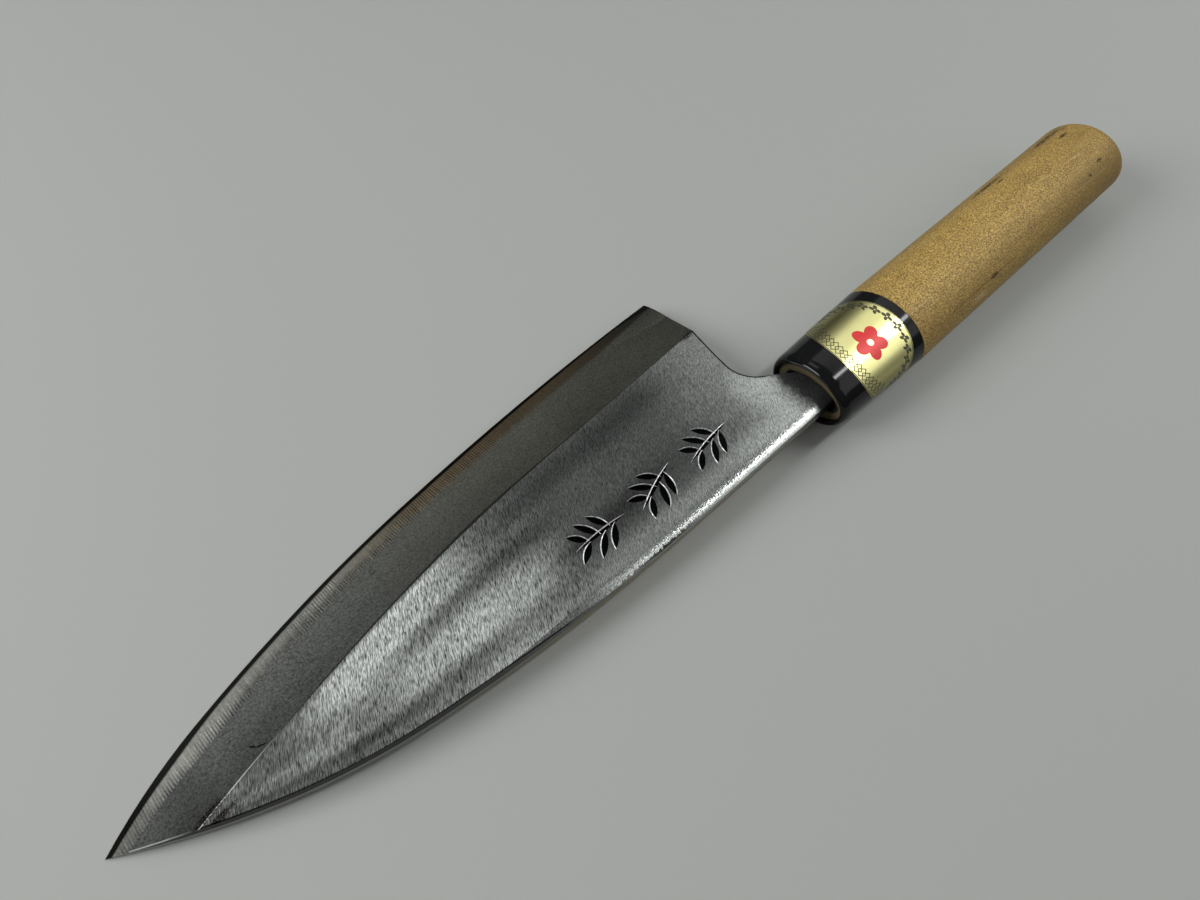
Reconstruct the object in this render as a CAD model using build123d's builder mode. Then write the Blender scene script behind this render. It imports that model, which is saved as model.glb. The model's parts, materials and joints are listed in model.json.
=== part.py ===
from build123d import *
from math import atan, degrees, sqrt
import os

# A deba, the heavy single-bevel knife for fish, as it lies on its back on a table.
# The knife's own axes: X along the handle's axis, from the mouth of the ferrule to the point,
# Y from that axis towards the spine, Z out of the bevelled cheek. The table is Z zero.

# Plan of the blade
blade_reach = 172.3
heel_gap = 5.5
edge_drop = 49.2
spine_rise = 5.9
point_drop = 20.9
ridge_drop = 31.9
neck_drop = 5.5

# Places where one arc of the edge runs into the next, in shares of the reach and of the drop
edge_heading_share = 0.015
edge_waist_shares = (0.522, 0.883)
edge_belly_shares = (0.859, 0.639)

# Places where the spine starts to fall and where the fall steepens
spine_turn_share = 0.261
spine_knee_shares = (0.65, 0.187)

# The ridge between the flat cheek and the bevel, in shares of the reach and of its own drop
ridge_turn_shares = (0.348, 0.902)
ridge_middle_shares = (0.638, 0.715)
ridge_end_shares = (0.9066, 0.3915)

# The curve from the heel up to the neck, in shares of the reach and of the drop
choil_heading_share = 0.2
choil_crest_shares = (0.0447, 0.376)
choil_throat_shares = (0.0232, 0.207)

# Thicknesses of the blade and of the hard-steel layer along its back
neck_thickness = 4.4
point_thickness = 3.0
edge_flat = 0.15
steel_thickness = 1.2
steel_gap = 2.0

# The eased shoulder along the spine and the hollow in the back
shoulder_width = 1.9
shoulder_fall = 1.2
hollow_rim = 3.2
hollow_depth = 0.35
hollow_start = 16.0

# Chiselled sprigs of bamboo leaves on the cheek, the leaves in shares of a sprig's size
sprig_size = 14.0
sprig_pitch = 17.4
sprig_start = 27.6
sprig_drop = 5.8
sprig_depth = 0.35
sprig_turns = (0, 12, -10)
leaf_width = 1.6
stem_width = 0.9
stem_shares = ((-0.5, -0.1), (0.5, 0.05))
leaf_shares = (
    ((-0.3, -0.07), (-0.05, 0.35)),
    ((-0.1, -0.02), (0.2, 0.38)),
    ((0.2, 0.02), (0.5, 0.3)),
    ((-0.2, -0.05), (0.05, -0.4)),
    ((0, 0), (0.3, -0.38)),
    ((0.22, 0), (0.5, -0.25)),
)

# Tang
tang_reach = 80.0
tang_end_height = 6.4
tang_end_thickness = 2.6
tang_clearance = 0.1

# Handle, with the tenon inside the ferrule and the burnt mouth of the tang hole
handle_length = 137.2
butt_height = 24.8
butt_width = 18.8
butt_round = 9.4
butt_shares = ((0.35, 0.96), (0.65, 0.82), (0.88, 0.56), (1, 0.24))
tenon_height = 19.2
tenon_width = 15.2
tenon_gap = 2.6
burnt_height = 13.2
burnt_width = 8.6
burnt_depth = 7.0
burnt_rise = 0.6
burnt_end_share = 0.6

# Ferrule, with its front edge rolled in
ferrule_length = 31.9
ferrule_height = 25.1
ferrule_width = 19.8
mouth_height = 23.0
mouth_width = 18.1
lip_length = 3.6
lip_roll = 1.0
lip_shares = ((0.45, 0.12), (0.8, 0.45), (1, 1))
tenon_clearance = 0.05

# Gold label stuck over the ferrule
label_thickness = 0.12
label_length = 21.2
label_spread = 31.0
label_gap = 7.7
label_turn = 15.0
label_end_length = 15.6
label_end_drop = 1.4
label_end_round = 6.0

# Cuts run past what they cut by this much
overrun = 30.0

# How the knife lies: the underside of the ferrule rests along its whole length, and the knife
# rolls about it until the belly of the edge touches the table too.
back_height = -neck_thickness / 2
heel = (heel_gap, -edge_drop)
belly = (blade_reach * edge_belly_shares[0], -edge_drop * edge_belly_shares[1])
point = (blade_reach, -point_drop)
rim_half_height = ferrule_height / 2
rim_half_width = ferrule_width / 2
underside_slope = (ferrule_width - mouth_width) / 2 / (ferrule_length - lip_length)
belly_lift = underside_slope * (belly[0] + ferrule_length) - back_height
side_square = belly[1] ** 2 - rim_half_height**2
side_root = sqrt((belly[1] * belly_lift) ** 2 - side_square * (belly_lift**2 - rim_half_width**2))
side_slope = (side_root + belly[1] * belly_lift) / side_square

lean = Plane(origin=(0, 0, 0), x_dir=(1, 0, underside_slope), z_dir=(-underside_slope, side_slope, 1))
point_place = lean.to_local_coords(Vector(*point, back_height))
heel_place = lean.to_local_coords(Vector(*heel, back_height))
belly_place = lean.to_local_coords(Vector(*belly, back_height))
butt_place = lean.to_local_coords(Vector(-handle_length, 0, 0))
rim_place = lean.to_local_coords(Vector(-ferrule_length, rim_half_height, 0))
middle_x = (point_place.X + butt_place.X) / 2
middle_y = (rim_place.Y + heel_place.Y) / 2
table_origin = lean.from_local_coords(Vector(middle_x, middle_y, belly_place.Z))
table = Plane(origin=table_origin, x_dir=lean.x_dir, z_dir=lean.z_dir)
knife = Plane(table.location.inverse())


def across(distance):
    """The plane across the handle's axis, this far in front of the ferrule's mouth."""
    return Plane(origin=knife.from_local_coords((distance, 0, 0)), x_dir=knife.y_dir, z_dir=knife.x_dir)


def oval(distance, height, width):
    """An oval across the handle's axis."""
    with BuildSketch(across(distance)) as section:
        Ellipse(height / 2, width / 2)
    return section.sketch


def shell_taper(thickness):
    """The ferrule's tapered outside, from its back rim to its lip, grown by this thickness."""
    grown = 2 * thickness
    return [
        oval(-ferrule_length, ferrule_height + grown, ferrule_width + grown),
        oval(-lip_length, mouth_height + grown, mouth_width + grown),
    ]


def tang_taper(gap):
    """The two ends of the tang, grown all round by this gap."""
    with BuildSketch(across(neck_x)) as root:
        with Locations((neck_middle, 0)):
            Rectangle(spine_rise + neck_drop + 2 * gap, neck_thickness + 2 * gap)
    with BuildSketch(across(-tang_reach - gap)) as end:
        Rectangle(tang_end_height + 2 * gap, tang_end_thickness + 2 * gap)
    return [root.sketch, end.sketch]


def leaf(root, tip, width):
    """A chiselled stroke, a lens from its root to its tip."""
    with BuildLine() as outline:
        SagittaArc(root, tip, width / 2)
        SagittaArc(tip, root, width / 2)
    make_face(outline.edges())


# The flat back of the blade, and the cheek, which falls towards the point
back = knife.offset(back_height)
cheek_fall = degrees(atan((neck_thickness - point_thickness) / blade_reach))
cheek = back.offset(neck_thickness).rotated((0, cheek_fall, 0))
shoulder_line = cheek.from_local_coords((0, spine_rise - shoulder_width, 0))
shoulder_turn = degrees(atan(shoulder_fall / shoulder_width))
shoulder = Plane(origin=shoulder_line, x_dir=cheek.x_dir, z_dir=cheek.z_dir).rotated((-shoulder_turn, 0, 0))

edge_waist = (blade_reach * edge_waist_shares[0], -edge_drop * edge_waist_shares[1])
spine_turn = (blade_reach * spine_turn_share, spine_rise)
spine_knee = (blade_reach * spine_knee_shares[0], spine_rise * spine_knee_shares[1])
ridge_heel = (heel_gap, -ridge_drop)
ridge_turn = (blade_reach * ridge_turn_shares[0], -ridge_drop * ridge_turn_shares[1])
ridge_middle = (blade_reach * ridge_middle_shares[0], -ridge_drop * ridge_middle_shares[1])
ridge_end = (blade_reach * ridge_end_shares[0], -ridge_drop * ridge_end_shares[1])
choil_crest = (blade_reach * choil_crest_shares[0], -edge_drop * choil_crest_shares[1])
choil_throat = (blade_reach * choil_throat_shares[0], -edge_drop * choil_throat_shares[1])
neck_x = -tenon_gap - burnt_depth / 3
neck_middle = (spine_rise - neck_drop) / 2

with BuildSketch(back) as blade_plan:
    with BuildLine():
        waist_arc = TangentArc(heel, edge_waist, tangent=(1, edge_heading_share))
        belly_arc = TangentArc(waist_arc @ 1, belly, tangent=waist_arc % 1)
        point_arc = TangentArc(belly_arc @ 1, point, tangent=belly_arc % 1)
        spine_line = Line((neck_x, spine_rise), spine_turn)
        spine_arc = TangentArc(spine_turn, spine_knee, tangent=spine_line % 1)
        TangentArc(spine_knee, point_arc @ 1, tangent=spine_arc % 1)
        heel_line = Line(heel, ridge_heel)
        crest_arc = TangentArc(heel_line @ 1, choil_crest, tangent=(choil_heading_share, 1))
        throat_arc = TangentArc(choil_crest, choil_throat, tangent=crest_arc % 1)
        neck_arc = TangentArc(choil_throat, (-tenon_gap, -neck_drop), tangent=throat_arc % 1)
        Polyline(neck_arc @ 1, (neck_x, -neck_drop), (neck_x, spine_rise))
    make_face()

# The bevel is cut by a ruled surface between the edge and the ridge. Both curves run on past the
# heel and the point, and both sketches have as many stretches.
with BuildSketch(back.offset(edge_flat)) as outside_edge:
    with BuildLine():
        before = waist_arc @ 0 - (waist_arc % 0) * overrun
        after = point_arc @ 1 + (point_arc % 1) * overrun
        Line(before, waist_arc @ 0)
        add(waist_arc)
        add(belly_arc)
        add(point_arc)
        Line(point_arc @ 1, after)
        Polyline(after, (after.X, -edge_drop - overrun), (before.X, -edge_drop - overrun), before)
    make_face()
with BuildSketch(cheek) as outside_ridge:
    with BuildLine():
        ridge_line = Line(ridge_heel, ridge_turn)
        middle_arc = TangentArc(ridge_turn, ridge_middle, tangent=ridge_line % 1)
        end_arc = TangentArc(ridge_middle, ridge_end, tangent=middle_arc % 1)
        before = ridge_line @ 0 - (ridge_line % 0) * overrun
        after = end_arc @ 1 + (end_arc % 1) * overrun
        Line(before, ridge_heel)
        Line(end_arc @ 1, after)
        Polyline(after, (after.X, -edge_drop - overrun), (before.X, -edge_drop - overrun), before)
    make_face()
bevel_sections = [outside_edge.sketch, outside_ridge.sketch]

# Soft-iron body of the blade, in one piece with the tang
with BuildPart() as blade_body:
    extrude(blade_plan.sketch, amount=neck_thickness * 2)
    split(bisect_by=cheek, keep=Keep.BOTTOM)
    split(bisect_by=shoulder, keep=Keep.BOTTOM)
    loft(bevel_sections, ruled=True, mode=Mode.SUBTRACT)
    loft(tang_taper(0))
    with BuildSketch(back.offset(steel_thickness)):
        with Locations((steel_gap, -edge_drop - overrun)):
            Rectangle(
                blade_reach + overrun, edge_drop + spine_rise + 2 * overrun, align=(Align.MIN, Align.MIN)
            )
    extrude(amount=-steel_thickness - overrun, mode=Mode.SUBTRACT)
    with BuildSketch(cheek):
        for number, turn in enumerate(sprig_turns):
            middle = Vector(sprig_start + number * sprig_pitch, -sprig_drop)
            for strokes, width in (((stem_shares,), stem_width), (leaf_shares, leaf_width)):
                for root_shares, tip_shares in strokes:
                    root = Vector(*root_shares).rotate(Axis.Z, turn) * sprig_size
                    tip = Vector(*tip_shares).rotate(Axis.Z, turn) * sprig_size
                    leaf(middle + root, middle + tip, width)
    extrude(amount=-sprig_depth, mode=Mode.SUBTRACT)

# Hard-steel layer along the back, which carries the cutting edge
with BuildPart() as edge_steel:
    extrude(blade_plan.sketch, amount=steel_thickness)
    split(bisect_by=across(steel_gap), keep=Keep.TOP)
    loft(bevel_sections, ruled=True, mode=Mode.SUBTRACT)
    with BuildSketch(back):
        add(blade_plan.sketch_local)
        offset(amount=-hollow_rim, mode=Mode.REPLACE)
        with Locations((hollow_start, -edge_drop - overrun)):
            Rectangle(
                blade_reach, edge_drop + spine_rise + 2 * overrun,
                align=(Align.MIN, Align.MIN), mode=Mode.INTERSECT,
            )
    extrude(amount=hollow_depth, mode=Mode.SUBTRACT)

# Oval wood handle with its rounded butt and its turned-down tenon
with BuildPart() as handle:
    butt_start = butt_round - handle_length
    loft([oval(-ferrule_length, ferrule_height, ferrule_width), oval(butt_start, butt_height, butt_width)])
    butt_sections = [oval(butt_start, butt_height, butt_width)]
    for reach_share, size_share in butt_shares:
        distance = butt_start - butt_round * reach_share
        butt_sections.append(oval(distance, butt_height * size_share, butt_width * size_share))
    loft(butt_sections)
    extrude(oval(-ferrule_length, tenon_height, tenon_width), amount=ferrule_length - tenon_gap)
    loft(tang_taper(tang_clearance), mode=Mode.SUBTRACT)
    extrude(tang_taper(tang_clearance)[0], amount=overrun, mode=Mode.SUBTRACT)
    burnt_sections = []
    for depth, share in ((0, 1), (burnt_depth, burnt_end_share)):
        with BuildSketch(across(-tenon_gap - depth)) as burnt:
            with Locations((burnt_rise, 0)):
                Ellipse(burnt_height * share / 2, burnt_width * share / 2)
        burnt_sections.append(burnt.sketch)
    loft(burnt_sections, mode=Mode.SUBTRACT)

# Moulded ferrule, an oval collar over the tenon
with BuildPart() as ferrule:
    loft(shell_taper(0))
    lip_sections = [oval(-lip_length, mouth_height, mouth_width)]
    for reach_share, roll_share in lip_shares:
        rolled = 2 * lip_roll * roll_share
        distance = lip_length * (reach_share - 1)
        lip_sections.append(oval(distance, mouth_height - rolled, mouth_width - rolled))
    loft(lip_sections)
    bore = oval(-ferrule_length, tenon_height + 2 * tenon_clearance, tenon_width + 2 * tenon_clearance)
    extrude(bore, amount=ferrule_length, mode=Mode.SUBTRACT)

# Gold foil label, an oval wrapped over the ferrule and turned towards the spine
label_middle = knife.from_local_coords((-label_gap - label_length / 2, 0, 0))
label_plane = Plane(origin=label_middle, x_dir=knife.x_dir, z_dir=knife.z_dir).rotated((-label_turn, 0, 0))
label_side = Plane(origin=label_middle, x_dir=knife.x_dir, z_dir=-label_plane.y_dir)
with BuildPart() as ferrule_label:
    loft(shell_taper(label_thickness))
    loft(shell_taper(0), mode=Mode.SUBTRACT)
    with BuildSketch(label_plane):
        Ellipse(label_length / 2, label_spread / 2)
    extrude(amount=ferrule_height, both=True, mode=Mode.INTERSECT)
    with BuildSketch(label_side):
        with Locations((0, label_end_round - label_end_drop)):
            Ellipse(label_end_length / 2, label_end_round)
            Rectangle(label_length, ferrule_height, align=(Align.CENTER, Align.MIN))
    extrude(amount=ferrule_height, both=True, mode=Mode.INTERSECT)

os.makedirs("parts", exist_ok=True)
blade_body.part.label = "blade_body"
export_step(blade_body.part, "parts/blade_body.step")
edge_steel.part.label = "edge_steel"
export_step(edge_steel.part, "parts/edge_steel.step")
handle.part.label = "handle"
export_step(handle.part, "parts/handle.step")
ferrule.part.label = "ferrule"
export_step(ferrule.part, "parts/ferrule.step")
ferrule_label.part.label = "ferrule_label"
export_step(ferrule_label.part, "parts/ferrule_label.step")
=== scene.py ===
"""The looks of a deba knife that lies on its back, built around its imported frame.

Sizes are in millimetres in the knife's own axes: X along the handle's axis from the mouth of the
ferrule to the point, Y from that axis towards the spine, Z out of the bevelled cheek.
"""

import json
import logging
from dataclasses import dataclass
from enum import Enum
from math import atan2, cos, pi, radians, sin
from typing import Optional, Union

import bmesh
import bpy
from mathutils import Matrix, Vector


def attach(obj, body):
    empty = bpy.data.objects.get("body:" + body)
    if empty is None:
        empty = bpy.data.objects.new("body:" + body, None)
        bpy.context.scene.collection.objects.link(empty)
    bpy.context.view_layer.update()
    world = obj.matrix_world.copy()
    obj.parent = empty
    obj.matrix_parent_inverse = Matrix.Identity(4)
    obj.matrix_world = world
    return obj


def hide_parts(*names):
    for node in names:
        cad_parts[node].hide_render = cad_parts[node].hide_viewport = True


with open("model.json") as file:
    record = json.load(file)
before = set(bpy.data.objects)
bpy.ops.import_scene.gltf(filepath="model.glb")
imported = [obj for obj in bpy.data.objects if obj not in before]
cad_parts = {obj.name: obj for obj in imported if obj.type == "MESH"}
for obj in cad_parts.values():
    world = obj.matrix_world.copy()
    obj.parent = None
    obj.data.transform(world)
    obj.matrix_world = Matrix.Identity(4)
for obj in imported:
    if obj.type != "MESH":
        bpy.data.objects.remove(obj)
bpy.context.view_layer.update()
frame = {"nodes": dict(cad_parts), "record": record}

log = logging.getLogger("deba")

MM = 0.001
Number = Union[float, int]
Term = Union["Value", float, int]
Socket = bpy.types.NodeSocket
Colour = tuple[float, float, float]
Tone = Union[Colour, Socket]
Place = tuple[float, float]
Table = tuple[Place, ...]
Axis = tuple[float, float, float]
Ring = list[bmesh.types.BMEdge]
# A mark's middle, its half length and half width, its turn in degrees and how ragged it is
Mark = tuple[float, float, float, float, float, float]
# A streak's middle and half width, as shares of the cheek's width, then the places along X where
# it starts, is full, fades and is gone, and its strength
Streak = tuple[float, float, float, float, float, float, float]
# A stain's middle, its half length and half width, and how strong the grain is where it shows
Stain = tuple[float, float, float, float, float, float]
# A scratch's start, its end, its place across the handle, its slope, half width and colour
Scratch = tuple[float, float, float, float, float, Colour]
# A lamp's name, the way to it, the way of its first side, its sides in metres and its radiance
Lamp = tuple[str, Axis, Axis, Place, float]


class Slot(Enum):
    """The record's material slots."""

    SOFT_IRON = "soft_iron"
    HARD_STEEL = "hard_steel"
    HANDLE_WOOD = "handle_wood"
    FERRULE_PLASTIC = "ferrule_plastic"
    LABEL_FOIL = "label_foil"


class KnifeAxes:
    """The knife's own axes, found from the mount on the blade's back."""

    mount_place = Vector((60.0, 4.2, -2.2))

    def __init__(self, record: dict) -> None:
        """Read where the knife lies.

        Args:
            record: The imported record.
        """
        mount = next(item for item in record["mounts"] if item["name"] == "blade_back")
        z_axis = -Vector(mount["axis"]).normalized()
        y_axis = Vector((0.0, z_axis.z, -z_axis.y)).normalized()
        x_axis = y_axis.cross(z_axis)
        self.turn = Matrix((x_axis, y_axis, z_axis)).transposed()
        self.origin = Vector(mount["pos_m"]) - self.turn @ (self.mount_place * MM)
        self.matrix = Matrix.Translation(self.origin) @ self.turn.to_4x4() @ Matrix.Scale(MM, 4)

    def place(self, x: float, y: float, z: float) -> Vector:
        """Return a point of the knife in the frame's metres."""
        return self.matrix @ Vector((x, y, z))

    def section(self, x: float, half_height: float, half_width: float, rise: float = 0.0) -> Matrix:
        """Return the matrix that lays a unit circle across the handle's axis.

        Args:
            x: Distance in front of the ferrule's mouth.
            half_height: Half of the oval's size along Y.
            half_width: Half of its size along Z.
            rise: How far its middle lies from the axis towards the spine.

        Returns:
            The matrix, in the frame's metres.
        """
        across = Matrix(((0, 0, 1, x), (half_height, 0, 0, rise), (0, half_width, 0, 0), (0, 0, 0, 1)))
        return self.matrix @ across


class Value:
    """One number in a shader, a socket or a constant, that arithmetic turns into Math nodes."""

    def __init__(self, shader: "Shader", source: Union[Socket, Number]) -> None:
        """Wrap a socket or a number.

        Args:
            shader: The material that the value belongs to.
            source: The socket or the number.
        """
        self.shader = shader
        self.source = source

    def math(self, operation: str, *others: Term) -> "Value":
        """Put this value and the others through one Math node.

        Args:
            operation: The node's operation.
            others: The other values or numbers.

        Returns:
            The result.
        """
        inputs = dict(enumerate((self, *others)))
        node = self.shader.node("ShaderNodeMath", {"operation": operation}, inputs)
        return Value(self.shader, node.outputs[0])

    def __add__(self, other: Term) -> "Value":
        """Return the sum."""
        return self.math("ADD", other)

    __radd__ = __add__

    def __sub__(self, other: Term) -> "Value":
        """Return the difference."""
        return self.math("SUBTRACT", other)

    def __rsub__(self, other: Number) -> "Value":
        """Return the difference from a number."""
        return Value(self.shader, other).math("SUBTRACT", self)

    def __mul__(self, other: Term) -> "Value":
        """Return the product."""
        return self.math("MULTIPLY", other)

    __rmul__ = __mul__

    def __truediv__(self, other: Term) -> "Value":
        """Return the quotient."""
        return self.math("DIVIDE", other)

    def __rtruediv__(self, other: Number) -> "Value":
        """Return a number's quotient by this value."""
        return Value(self.shader, other).math("DIVIDE", self)

    def __pow__(self, other: Number) -> "Value":
        """Return the power."""
        return self.math("POWER", other)

    def rise(self, low: float, high: float) -> "Value":
        """Make a smooth step from 0 to 1.

        Args:
            low: Where it is 0; this may be the larger.
            high: Where it is 1.

        Returns:
            The step.
        """
        settings = {"interpolation_type": "SMOOTHSTEP"}
        inputs = {"Value": self, "From Min": min(low, high), "From Max": max(low, high)}
        step = Value(self.shader, self.shader.node("ShaderNodeMapRange", settings, inputs).outputs[0])
        return 1.0 - step if low > high else step

    def window(self, start: float, full: float, fade: float, gone: float) -> "Value":
        """Return 1 from full to fade, eased down to 0 at start and gone."""
        return self.rise(start, full) * self.rise(gone, fade)

    def hump(self, middle: float, half_width: float) -> "Value":
        """Return a smooth hump, 1 at its middle and 0 beyond its half width."""
        return (self - middle).math("ABSOLUTE").rise(half_width, 0.0)

    def over(self, floor: float) -> "Value":
        """Return how far this value is over a number, and 0 below it."""
        return (self - floor).math("MAXIMUM", 0.0)

    def capped(self) -> "Value":
        """Return this value, or 1 where it is more."""
        return self.math("MINIMUM", 1.0)

    def table(self, stops: Table) -> "Value":
        """Read a number from a smooth table.

        Args:
            stops: Pairs of this value and the number there, in rising order.

        Returns:
            The number, eased between the stops.
        """
        result = Value(self.shader, stops[0][1])
        for (start, level), (end, next_level) in zip(stops, stops[1:]):
            if next_level != level:
                result = result + self.rise(start, end) * (next_level - level)
        return result


@dataclass(frozen=True)
class Arc:
    """An arc that leaves its start with a heading and ends at a point."""

    start: Place
    heading: float
    end: Place

    @property
    def chord(self) -> Vector:
        """Return the way from the start to the end."""
        return Vector(self.end) - Vector(self.start)

    @property
    def radius(self) -> float:
        """Return the radius, positive where the arc turns left."""
        side = self.chord.y * cos(self.heading) - self.chord.x * sin(self.heading)
        return self.chord.length_squared / (2 * side)

    @property
    def centre(self) -> Vector:
        """Return the arc's centre."""
        return Vector(self.start) + self.radius * Vector((-sin(self.heading), cos(self.heading)))

    @property
    def end_heading(self) -> float:
        """Return the heading at the arc's end."""
        return 2 * atan2(self.chord.y, self.chord.x) - self.heading

    def gap(self, x: Value, y: Value) -> Value:
        """Return how far a place lies outside the arc's circle."""
        east, north = x - self.centre.x, y - self.centre.y
        return (east * east + north * north) ** 0.5 - abs(self.radius)


def opaque(tone: Tone) -> Union[Socket, tuple[float, ...]]:
    """Return a colour with its alpha, or a socket as it is."""
    return (*tone, 1.0) if isinstance(tone, tuple) else tone


class Nodes:
    """A node tree that is being put together."""

    def __init__(self, tree: bpy.types.NodeTree) -> None:
        """Take over a tree and empty it.

        Args:
            tree: The tree.
        """
        self.tree = tree
        tree.nodes.clear()

    def plug(self, target: Socket, source: Union[Term, Socket, tuple]) -> None:
        """Link a source to a socket, or set the socket to a constant.

        Args:
            target: The socket that is fed.
            source: The value, socket, number, colour or vector.
        """
        source = source.source if isinstance(source, Value) else source
        if isinstance(source, Socket):
            self.tree.links.new(source, target)
        else:
            target.default_value = source

    def node(
        self, kind: str, settings: Optional[dict] = None, inputs: Optional[dict] = None
    ) -> bpy.types.Node:
        """Add a node.

        Args:
            kind: The node's type.
            settings: Its settings, which are set first; "stops" are a ramp's places and greys.
            inputs: Its sockets' values or links, by name or number.

        Returns:
            The node.
        """
        node = self.tree.nodes.new(kind)
        for name, setting in (settings or {}).items():
            if name != "stops":
                setattr(node, name, setting)
                continue
            stops = node.color_ramp.elements
            stops.remove(stops[1])
            for number, (place, level) in enumerate(setting):
                stop = stops.new(place) if number else stops[0]
                stop.color = (level, level, level, 1.0)
        for name, source in (inputs or {}).items():
            self.plug(node.inputs[name], source)
        return node


class Shader(Nodes):
    """A material that is being put together from nodes."""

    def __init__(self, name: str, axes: KnifeAxes) -> None:
        """Start a material with its surface shader and the knife's coordinates.

        Args:
            name: The material's name.
            axes: The knife's axes.
        """
        self.material = bpy.data.materials.new(name)
        self.material.use_nodes = True
        super().__init__(self.material.node_tree)
        self.surface = self.node("ShaderNodeBsdfPrincipled")
        self.node("ShaderNodeOutputMaterial", inputs={"Surface": self.surface.outputs[0]})
        self.axes = axes
        coords = self.node("ShaderNodeTexCoord").outputs
        inputs = {"Vector": coords["Object"], "Location": axes.origin, "Rotation": axes.turn.to_euler()}
        inputs["Scale"] = (MM, MM, MM)
        place = self.node("ShaderNodeMapping", {"vector_type": "TEXTURE"}, inputs)
        self.x, self.y, self.z = self.split(place.outputs[0])
        self.uv = coords["UV"]
        self.normal = coords["Normal"]

    def split(self, vector: Socket) -> tuple[Value, Value, Value]:
        """Return the three parts of a vector."""
        node = self.node("ShaderNodeSeparateXYZ", inputs={0: vector})
        return tuple(Value(self, output) for output in node.outputs)

    def join(self, x: Term, y: Term, z: Term = 0.0) -> Socket:
        """Return a vector made of three numbers."""
        return self.node("ShaderNodeCombineXYZ", inputs={0: x, 1: y, 2: z}).outputs[0]

    def vector(self, operation: str, inputs: dict) -> bpy.types.Node:
        """Return one Vector Math node."""
        return self.node("ShaderNodeVectorMath", {"operation": operation}, inputs)

    def facing(self, axis: Vector) -> Value:
        """Return how far the surface faces along an axis, from -1 to 1."""
        return Value(self, self.vector("DOT_PRODUCT", {0: self.normal, 1: tuple(axis)}).outputs["Value"])

    def noise(self, vector: Socket, detail: float = 2.0, rough: float = 0.5) -> Value:
        """Return a noise, about 0.5 on average, with finer layers of the given strength."""
        inputs = {"Vector": vector, "Scale": 1.0, "Detail": detail, "Roughness": rough}
        return Value(self, self.node("ShaderNodeTexNoise", inputs=inputs).outputs[0])

    def dapple(self, often: Axis, seed: float = 0.0, detail: float = 2.0, rough: float = 0.5) -> Value:
        """Make a noise over the knife's own place.

        Args:
            often: How often it repeats in a millimetre along X, Y and Z.
            seed: A number that moves the pattern.
            detail: How many finer layers it has.
            rough: How strong those layers are.

        Returns:
            The noise.
        """
        up = self.z * often[2] + seed if often[2] else seed
        return self.noise(self.join(self.x * often[0], self.y * often[1], up), detail, rough)

    def stretched(self, along: float, across: float, turn: float = 0.0, seed: float = 0.0) -> Socket:
        """Make coordinates for marks that are drawn out in one direction of the blade.

        Args:
            along: Length of a mark.
            across: Width of a mark.
            turn: Direction of the marks, from X towards Y.
            seed: A number that moves the pattern.

        Returns:
            The coordinates.
        """
        run = self.x * cos(turn) + self.y * sin(turn)
        side = self.y * cos(turn) - self.x * sin(turn)
        return self.join(run * (1 / along), side * (1 / across), self.z * (1 / across) + seed)

    def mix(self, share: Value, low: Tone, high: Tone) -> Socket:
        """Return a colour between two colours."""
        inputs = {0: share, 6: opaque(low), 7: opaque(high)}
        return self.node("ShaderNodeMix", {"data_type": "RGBA"}, inputs).outputs[2]

    def paint(self, colour: Tone, *coats: tuple[Value, Tone]) -> Tone:
        """Lay coats of colour over each other.

        Args:
            colour: The colour at the bottom.
            coats: The share and the colour of each coat, in order.

        Returns:
            The colour that shows.
        """
        for share, tone in coats:
            colour = self.mix(share, colour, tone)
        return colour

    def grey(self, level: Value, tint: Tone = (1.0, 1.0, 1.0)) -> Socket:
        """Make a grey with a tint laid over it.

        Args:
            level: How light it is.
            tint: The tint.

        Returns:
            The colour.
        """
        plain = self.node("ShaderNodeCombineColor", inputs={0: level, 1: level, 2: level}).outputs[0]
        settings = {"data_type": "RGBA", "blend_type": "MULTIPLY"}
        return self.node("ShaderNodeMix", settings, {0: 1.0, 6: plain, 7: opaque(tint)}).outputs[2]

    def dress(self, colour: Tone, rough: Term, metallic: Term) -> None:
        """Set the surface's colour, roughness and metallic."""
        for name, source in (("Base Color", opaque(colour)), ("Roughness", rough), ("Metallic", metallic)):
            self.plug(self.surface.inputs[name], source)

    def lean(self, share: Value, tilt: Value, base: Vector, toward: Vector) -> Socket:
        """Make a normal that leans over, so that a flat face looks rounded.

        Args:
            share: How much of it replaces the surface's own normal.
            tilt: Its lean in radians.
            base: The normal where it doesn't lean.
            toward: The direction that it leans towards.

        Returns:
            The normal.
        """
        upright = self.vector("SCALE", {0: tuple(base), "Scale": tilt.math("COSINE")}).outputs[0]
        aside = self.vector("SCALE", {0: tuple(toward), "Scale": tilt.math("SINE")}).outputs[0]
        leaning = self.vector("ADD", {0: upright, 1: aside}).outputs[0]
        inputs = {0: share, 4: self.normal, 5: leaning}
        mixed = self.node("ShaderNodeMix", {"data_type": "VECTOR"}, inputs).outputs[1]
        return self.vector("NORMALIZE", {0: mixed}).outputs[0]

    def relief(self, height: Value, depth: float, normal: Optional[Socket] = None) -> None:
        """Raise the surface.

        Args:
            height: The relief's height, from 0 to 1.
            depth: What a height of 1 is in millimetres.
            normal: The normal that it is laid on, where this isn't the surface's own.
        """
        inputs = {"Height": height, "Distance": depth * MM, "Strength": 1.0}
        if normal:
            inputs["Normal"] = normal
        self.plug(self.surface.inputs["Normal"], self.node("ShaderNodeBump", inputs=inputs).outputs[0])


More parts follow.
